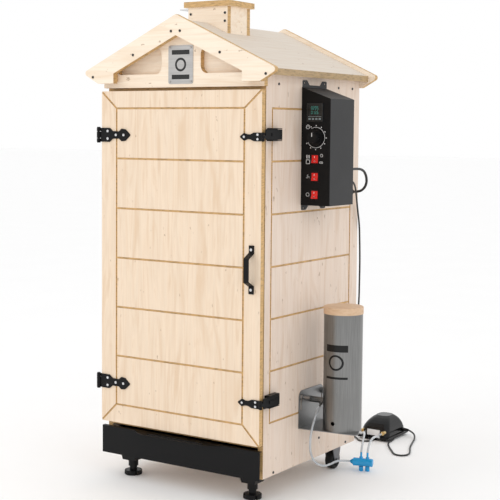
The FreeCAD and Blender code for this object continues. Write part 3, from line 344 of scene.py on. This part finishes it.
def paint_metal():
    give(coated("black_coat", (0.004, 0.004, 0.0045), 0.42, specular=0.18)[0], "door_straps",
         "wall_fittings", "latch_flap_upper", "latch_flap_lower", "door_handle", "drip_tray")
    give(coated("wood_screw_black", (0.02, 0.02, 0.02), 0.35)[0], "wood_screws")
    give(brushed("bright_zinc", (0.78, 0.78, 0.79), 0.28)[0], "door_screws")
    give(brushed("bracket_zinc", (0.30, 0.30, 0.30), 0.42)[0], "generator_bracket")
    give(brushed("grey_zinc", (0.22, 0.22, 0.23), 0.4, "z")[0], "caster_forks")
    give(brushed("stainless", (0.62, 0.62, 0.63), 0.3)[0], "heating_element",
         "temperature_probe", "racks", "hanging_rods", "chamber_rails", "damper_plate",
         "fan_wheel")
    give(coated("box_side", (0.033, 0.033, 0.034), 0.55, 500, 0.5, 0.3)[0],
         "control_box_housing")
    give(coated("box_panel", (0.004, 0.004, 0.0045), 0.38, specular=0.16)[0],
         "control_box_front")
    give(brushed("brass", (0.75, 0.55, 0.27), 0.25, "y")[0], "pump_nozzles")
    give(coated("bright_blue", (0.012, 0.33, 0.68), 0.22, 200, 0.05)[0], "splitter_body",
         "splitter_knob_1", "splitter_knob_2")


def ring_mask(tree, across, rise, radius, half_width):
    """1 on a ring about the point where across and rise are both 0."""
    squares = [math_node(tree, "MULTIPLY", v, v) for v in (across, rise)]
    distance = math_node(tree, "SQRT", math_node(tree, "ADD", *squares))
    off_ring = math_node(tree, "ABSOLUTE", math_node(tree, "SUBTRACT", distance, radius))
    return math_node(tree, "LESS_THAN", off_ring, half_width)


def bar_mask(tree, across, rise, half_width, low, high):
    """1 on an upright rectangle about the line where across is 0."""
    width = math_node(tree, "LESS_THAN", math_node(tree, "ABSOLUTE", across), half_width)
    return math_node(tree, "MULTIPLY", width, within(tree, rise, low, high))


def paint_tube():
    """Rolled stainless tube with a plain etched ring between two bars on its front."""
    mat, tree, shader, tone = brushed("rolled_stainless", (0.25, 0.25, 0.246), 0.34, "z")
    low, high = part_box("generator_lid")
    place = split(tree, "Object")
    off_centre, height = 0.006, 0.345      # the middle of the mark on the tube
    across = math_node(tree, "SUBTRACT", place[0], (low.x + high.x) / 2 + off_centre)
    rise = math_node(tree, "SUBTRACT", place[2], height)
    marks = [ring_mask(tree, across, rise, 0.018, 0.0026),
             bar_mask(tree, across, rise, 0.029, 0.028, 0.046),
             bar_mask(tree, across, rise, 0.029, -0.043, -0.037)]
    mark = any_of(tree, marks)
    front = math_node(tree, "LESS_THAN", place[1], (low.y + high.y) / 2)
    mark = math_node(tree, "MULTIPLY", mark, front)
    tree.links.new(mix(tree, mark, tone, (0.03, 0.03, 0.03)), shader.inputs["Base Color"])
    give(mat, "generator_tube")


def paint_plaque():
    """Brushed plate with a plain dark band at top and bottom and a plain ring."""
    mat, tree, shader, tone = brushed("plaque_metal", (0.50, 0.49, 0.48), 0.42, "x")
    low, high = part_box("plaque")
    place = split(tree, "Object")
    height, width = high.z - low.z, high.x - low.x
    across = math_node(tree, "SUBTRACT", place[0], (low.x + high.x) / 2)
    rise = math_node(tree, "SUBTRACT", place[2], (low.z + high.z) / 2)
    marks = [bar_mask(tree, across, rise, 0.36 * width, 0.26 * height, 0.38 * height),
             bar_mask(tree, across, rise, 0.36 * width, -0.38 * height, -0.26 * height),
             ring_mask(tree, across, rise, 0.15 * height, 0.03 * height)]
    mark = math_node(tree, "MULTIPLY", any_of(tree, marks), facing(tree, 1, 0.8))
    tree.links.new(mix(tree, mark, tone, (0.05, 0.05, 0.05)), shader.inputs["Base Color"])
    give(mat, "plaque")


def paint_plastic():
    give(coated("black_plastic", (0.005, 0.005, 0.0055), 0.38, specular=0.2)[0],
         "foot_sockets", "foot_left", "foot_right", "cable_entries", "fan_motor",
         "switch_bezels", "timer_knob")
    give(coated("display_bezel", (0.008, 0.010, 0.011), 0.14, 300, 0.05, 0.4)[0],
         "pid_controller")
    give(coated("black_rubber", (0.010, 0.010, 0.010), 0.6, specular=0.3)[0],
         "caster_wheel_left", "caster_wheel_right", "door_seal")
    give(coated("pump_gloss", (0.004, 0.004, 0.0045), 0.12, 60, 0.04, 0.28)[0], "pump_housing")
    mat, tree, shader, tone = coated("lit_red", (0.58, 0.010, 0.008), 0.25, 300, 0.05)
    tree.links.new(tone, shader.inputs["Emission Color"])
    shader.inputs["Emission Strength"].default_value = 0.15
    give(mat, "rocker_1", "rocker_2", "rocker_3")
    give(coated("button_grey", (0.20, 0.24, 0.25), 0.4)[0], "pid_button_1", "pid_button_2",
         "pid_button_3", "pid_button_4")


paint_cabinet()
paint_metal()
paint_tube()
paint_plaque()
paint_plastic()


# ------------------------------------------------------------------ hoses and cords
ORIGIN = Vector((56.3, 436.5, 0))      # the frame's origin on part.py's drawing, millimetres
POWER_CABLE = [
    (300, 342, 838), (300.5, 372, 839.5), (300, 404, 840), (300.5, 430, 838),
    (300, 449, 831), (300.5, 460, 816), (300, 462, 798.5), (291.5, 462.5, 783),
    (276, 462, 774.5), (259, 462, 774.5)]
PUMP_CORD = [
    (300, 342, 812), (299, 374, 810), (293, 404, 800), (283, 432, 782), (272, 458, 755),
    (262, 484, 720), (256, 506, 680), (248, 524, 632), (241, 540, 576), (232, 556, 516),
    (222, 574, 454), (206, 594, 394), (182, 616, 338), (152, 640, 284), (120, 664, 230),
    (88, 690, 176), (60, 716, 124), (38, 738, 74), (28, 760, 32), (38, 780, 8),
    (60, 786, 3), (84, 780, 3), (106, 769, 3), (125, 754, 3), (138, 736, 3), (156, 729, 3),
    (174, 740, 3), (179, 768, 3), (180, 793, 3), (188, 812, 3), (204, 822, 3), (221, 816, 3),
    (228, 796, 3), (229, 770, 3), (236, 746, 3), (250, 722, 3), (267, 698, 3), (285, 675, 3),
    (297, 658, 3), (310, 646, 3), (327, 645, 3), (340, 657, 3), (340, 677, 3), (329, 706, 3),
    (313, 736, 3), (302, 766, 3), (292, 796, 3), (283, 824, 3), (276, 848, 7), (262, 868, 15),
    (242, 872, 20)]
AIR_LINE_A = [
    (286, 242.2, 215.7), (288, 226, 202), (291, 206, 184), (295, 188, 165), (296, 179, 140),
    (289, 192, 108), (281, 222, 76), (275, 260, 54), (269, 304, 40), (262, 346, 34),
    (255, 382, 31), (250, 404, 28), (250.5, 421, 25.5), (258, 434, 24.2), (273.3, 440.7, 24)]
AIR_LINE_B = [
    (303.3, 448.7, 52), (303, 455, 76), (291, 488, 91), (258, 552, 81), (220, 622, 62),
    (184, 682, 42), (158, 712, 33), (146, 729, 29), (139.5, 750, 27)]
AIR_LINE_C = [
    (320.6, 453.4, 52), (321, 458, 72), (315, 490, 85), (300, 548, 76), (274, 612, 56),
    (242, 674, 38), (215, 718, 30), (209.5, 750, 27)]


def hose(name, route, diameter, mat):
    """A round hose or cord along its route, from one fitting to the next."""
    curve = bpy.data.curves.new(name, "CURVE")
    curve.dimensions = "3D"
    curve.bevel_depth = diameter / 2
    curve.bevel_resolution = 4
    curve.resolution_u = 8
    curve.use_fill_caps = True
    spline = curve.splines.new("NURBS")
    spline.points.add(len(route) - 1)
    for point, place in zip(spline.points, route):
        point.co = (*((Vector(place) - ORIGIN) / 1000), 1)
    spline.order_u = 3
    spline.use_endpoint_u = True
    curve.materials.append(mat)
    piece = bpy.data.objects.new(name + "_look", curve)
    scene.collection.objects.link(piece)
    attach(piece, "cabinet")
    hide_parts(name)
    return piece


def add_hoses():
    clear, _, shader, _ = coated("clear_hose", (0.66, 0.69, 0.72), 0.22, 200, 0.05)
    shader.inputs["Transmission Weight"].default_value = 0.35
    shader.inputs["IOR"].default_value = 1.4
    sheath = coated("cord_sheath", (0.02, 0.02, 0.02), 0.5)[0]
    hose("power_cable", POWER_CABLE, 0.007, sheath)
    hose("pump_cord", PUMP_CORD, 0.005, sheath)
    hose("air_line_a", AIR_LINE_A, 0.006, clear)
    hose("air_line_b", AIR_LINE_B, 0.006, clear)
    hose("air_line_c", AIR_LINE_C, 0.006, clear)


add_hoses()


# ------------------------------------------------------------------ printed and lit marks
def boxes(name, cuboids, mat, body):
    """One object made of upright boxes, each given by two opposite corners."""
    verts, faces = [], []
    for low, high in cuboids:
        start = len(verts)
        verts += [(x, y, z) for x in (low[0], high[0]) for y in (low[1], high[1])
                  for z in (low[2], high[2])]
        for face in ((0, 1, 3, 2), (4, 6, 7, 5), (0, 4, 5, 1), (2, 3, 7, 6), (0, 2, 6, 4),
                     (1, 5, 7, 3)):
            faces.append([start + i for i in face])
    mesh = bpy.data.meshes.new(name)
    mesh.from_pydata(verts, [], faces)
    mesh.materials.append(mat)
    piece = bpy.data.objects.new(name, mesh)
    scene.collection.objects.link(piece)
    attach(piece, body)
    return piece


SEGMENTS = {  # a seven-segment digit: (x, z, half width, half height) on a 1 x 2 cell
    "a": (0, 1, 0.36, 0.08), "b": (0.42, 0.5, 0.08, 0.38), "c": (0.42, -0.5, 0.08, 0.38),
    "d": (0, -1, 0.36, 0.08), "e": (-0.42, -0.5, 0.08, 0.38), "f": (-0.42, 0.5, 0.08, 0.38),
    "g": (0, 0, 0.36, 0.08)}
DIGITS = {"0": "abcdef", "1": "bc", "2": "abged", "5": "afgcd", "6": "afgedc"}
DIGIT_CELL = 0.0038
MARK_DEPTH = 0.0002


def tile(x, z, half_w, half_h, y):
    """A thin upright mark on the plane at y."""
    return (x - half_w, y - MARK_DEPTH, z - half_h), (x + half_w, y, z + half_h)


def digits(text, x, z, cell, y):
    """Seven-segment digits, the first one about x and z."""
    marks = []
    for index, digit in enumerate(text):
        centre = x + index * cell * 1.5
        for key in DIGITS[digit]:
            dx, dz, half_w, half_h = (v * cell for v in SEGMENTS[key])
            marks.append(tile(centre + dx, z + dz, half_w, half_h, y))
    return marks


def glowing(name, colour, strength):
    """A plastic that gives off its own colour."""
    mat, tree, shader, tone = coated(name, colour, 0.4, 300, 0.02)
    tree.links.new(tone, shader.inputs["Emission Color"])
    shader.inputs["Emission Strength"].default_value = strength
    return mat


def arc_tiles(x, z, radius, size, start, end, count, y):
    """Marks along an arc, angles in degrees from +X towards +Z."""
    marks = []
    for index in range(count):
        angle = math.radians(start + (end - start) * index / (count - 1))
        marks.append(tile(x + radius * math.cos(angle), z + radius * math.sin(angle), size,
                          size, y))
    return marks


def add_display():
    """Two rows of plain digits on the controller, and the fine line under them."""
    low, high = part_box("pid_controller")
    screen = low.y + 0.0008
    middle, top = (low.x + high.x) / 2, high.z
    first = middle - 0.0090
    boxes("display_upper", digits("0205", first, top - 0.0125, DIGIT_CELL, screen),
          glowing("teal_light", (0.03, 0.20, 0.17), 0.8), "cabinet")
    boxes("display_lower", digits("0126", first, top - 0.0240, DIGIT_CELL, screen),
          glowing("green_light", (0.03, 0.20, 0.16), 0.8), "cabinet")
    pale = coated("print_pale", (0.30, 0.36, 0.36), 0.4)[0]
    boxes("display_line", [tile(middle, low.z + 0.0135, 0.0195, 0.0003, low.y)], pale,
          "cabinet")


def add_scale(front, white):
    """The timer's printed scale: a fine circle with dots round it."""
    low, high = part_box("timer_knob")
    x, z = (low.x + high.x) / 2, (low.z + high.z) / 2
    start, end = 118, -150             # degrees, the two ends of the scale
    circle = arc_tiles(x, z, 0.0262, 0.0006, start, end, 150, front)
    dots = arc_tiles(x, z, 0.0306, 0.0012, start, end, 10, front)
    clock_x = x - 0.0235
    clock = arc_tiles(clock_x, z + 0.0270, 0.0050, 0.0006, 0, 350, 36, front)
    hand = [tile(clock_x, z + 0.0285, 0.0006, 0.0018, front)]
    boxes("dial_scale", circle + dots + clock + hand, white, "cabinet")
    boxes("knob_pointer", [((x - 0.0008, low.y - MARK_DEPTH, z + 0.002),
                            (x + 0.0008, low.y + 0.0012, z + 0.012))],
          white, "knob")


def heater_sign(x, z, y):
    """Three bars of heat over a square."""
    bars = [tile(x + dx, z + 0.006, 0.0007, 0.0045, y) for dx in (-0.004, 0, 0.004)]
    sides = [tile(x + dx, z - 0.007, 0.0006, 0.0055, y) for dx in (-0.005, 0.005)]
    ends = [tile(x, z - 0.007 + dz, 0.005, 0.0006, y) for dz in (-0.005, 0.005)]
    return bars + sides + ends


def fan_sign(x, z, y):
    """Three blades round a hub, as three short arcs."""
    marks = [tile(x, z, 0.0012, 0.0012, y)]
    for start in (90, 210, 330):
        angle = math.radians(start)
        blade_x, blade_z = x + 0.0032 * math.cos(angle), z + 0.0032 * math.sin(angle)
        marks += arc_tiles(blade_x, blade_z, 0.0016, 0.0011, start, start + 150, 8, y)
    return marks


def ring_sign(x, z, y):
    """A plain ring."""
    return arc_tiles(x, z, 0.0045, 0.0008, 0, 350, 30, y)


def add_switch_marks(front, white):
    """On and off marks on each rocker and a plain sign beside each switch."""
    signs = {1: ring_sign, 2: fan_sign, 3: heater_sign}
    for number in (1, 2, 3):
        low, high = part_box(f"rocker_{number}")
        x, z = (low.x + high.x) / 2, (low.z + high.z) / 2
        face = low.y + 0.0012
        marks = [tile(x, z + 0.0055, 0.0006, 0.0022, face)]
        marks += arc_tiles(x, z - 0.0058, 0.0018, 0.0005, 0, 345, 24, face)
        boxes(f"rocker_marks_{number}", marks, white, f"switch_{number}")
        boxes(f"switch_sign_{number}", signs[number](x - 0.0215, z, front), white, "cabinet")
    # one ring above two smaller ones, beside the last rocker
    rings = arc_tiles(x + 0.0185, z + 0.0095, 0.0035, 0.0006, 0, 350, 26, front)
    for dx in (-0.0024, 0.0024):
        rings += arc_tiles(x + 0.0175 + dx, z - 0.0085, 0.0022, 0.0005, 0, 350, 18, front)
    boxes("timer_signs", rings, white, "cabinet")


def add_pump_label(white):
    """Plain plate between the two nozzles."""
    low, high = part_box("pump_nozzles")
    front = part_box("pump_housing")[0].y
    x = (low.x + high.x) / 2
    half_w, bottom, top = 0.021, 0.016, 0.033
    boxes("pump_label", [((x - half_w, front + 0.0016, bottom),
                          (x + half_w, front + 0.0050, top))], white, "cabinet")


def add_marks():
    white = coated("print_white", (0.80, 0.80, 0.80), 0.5)[0]
    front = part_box("control_box_front")[0].y
    add_display()
    add_scale(front, white)
    add_switch_marks(front, white)
    add_pump_label(white)


add_marks()


# ------------------------------------------------------------------ room and light
FLOOR_REACH = 40.0
AIM = (0, 0, 0.7)                      # the point that both lamps face
LAMP_SIZE = 2.0
LAMPS = (("key", (-1.6, -3.4, 2.8), 16), ("fill", (3.2, -1.6, 2.2), 6))    # watts last


def add_room():
    """White floor and studio background with two soft lamps."""
    floor_mat, tree, shader = material("floor_white", 0.9)
    cloud = noise(tree, (1, 1, 1), 3, 2)
    whites = [(0.3, (0.975, 0.975, 0.975)), (0.7, (0.985, 0.985, 0.985))]
    tree.links.new(ramp(tree, cloud, whites), shader.inputs["Base Color"])
    mesh = bpy.data.meshes.new("floor")
    corners = [(x * FLOOR_REACH, y * FLOOR_REACH, 0)
               for x, y in ((-1, -1), (1, -1), (1, 1), (-1, 1))]
    mesh.from_pydata(corners, [], [(0, 1, 2, 3)])
    mesh.materials.append(floor_mat)
    floor = bpy.data.objects.new("floor", mesh)
    scene.collection.objects.link(floor)
    world = bpy.data.worlds.new("studio")
    world.use_nodes = True
    world.node_tree.nodes["Background"].inputs["Color"].default_value = (1, 1, 1, 1)
    world.node_tree.nodes["Background"].inputs["Strength"].default_value = 1.0
    scene.world = world
    for name, place, energy in LAMPS:
        light = bpy.data.lights.new(name, "AREA")
        light.energy = energy
        light.size = LAMP_SIZE
        lamp = bpy.data.objects.new(name, light)
        lamp.location = place
        aim = Vector(AIM) - Vector(place)
        lamp.rotation_euler = aim.to_track_quat("-Z", "Y").to_euler()
        scene.collection.objects.link(lamp)
    scene.view_settings.view_transform = "Standard"


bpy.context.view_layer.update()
add_room()
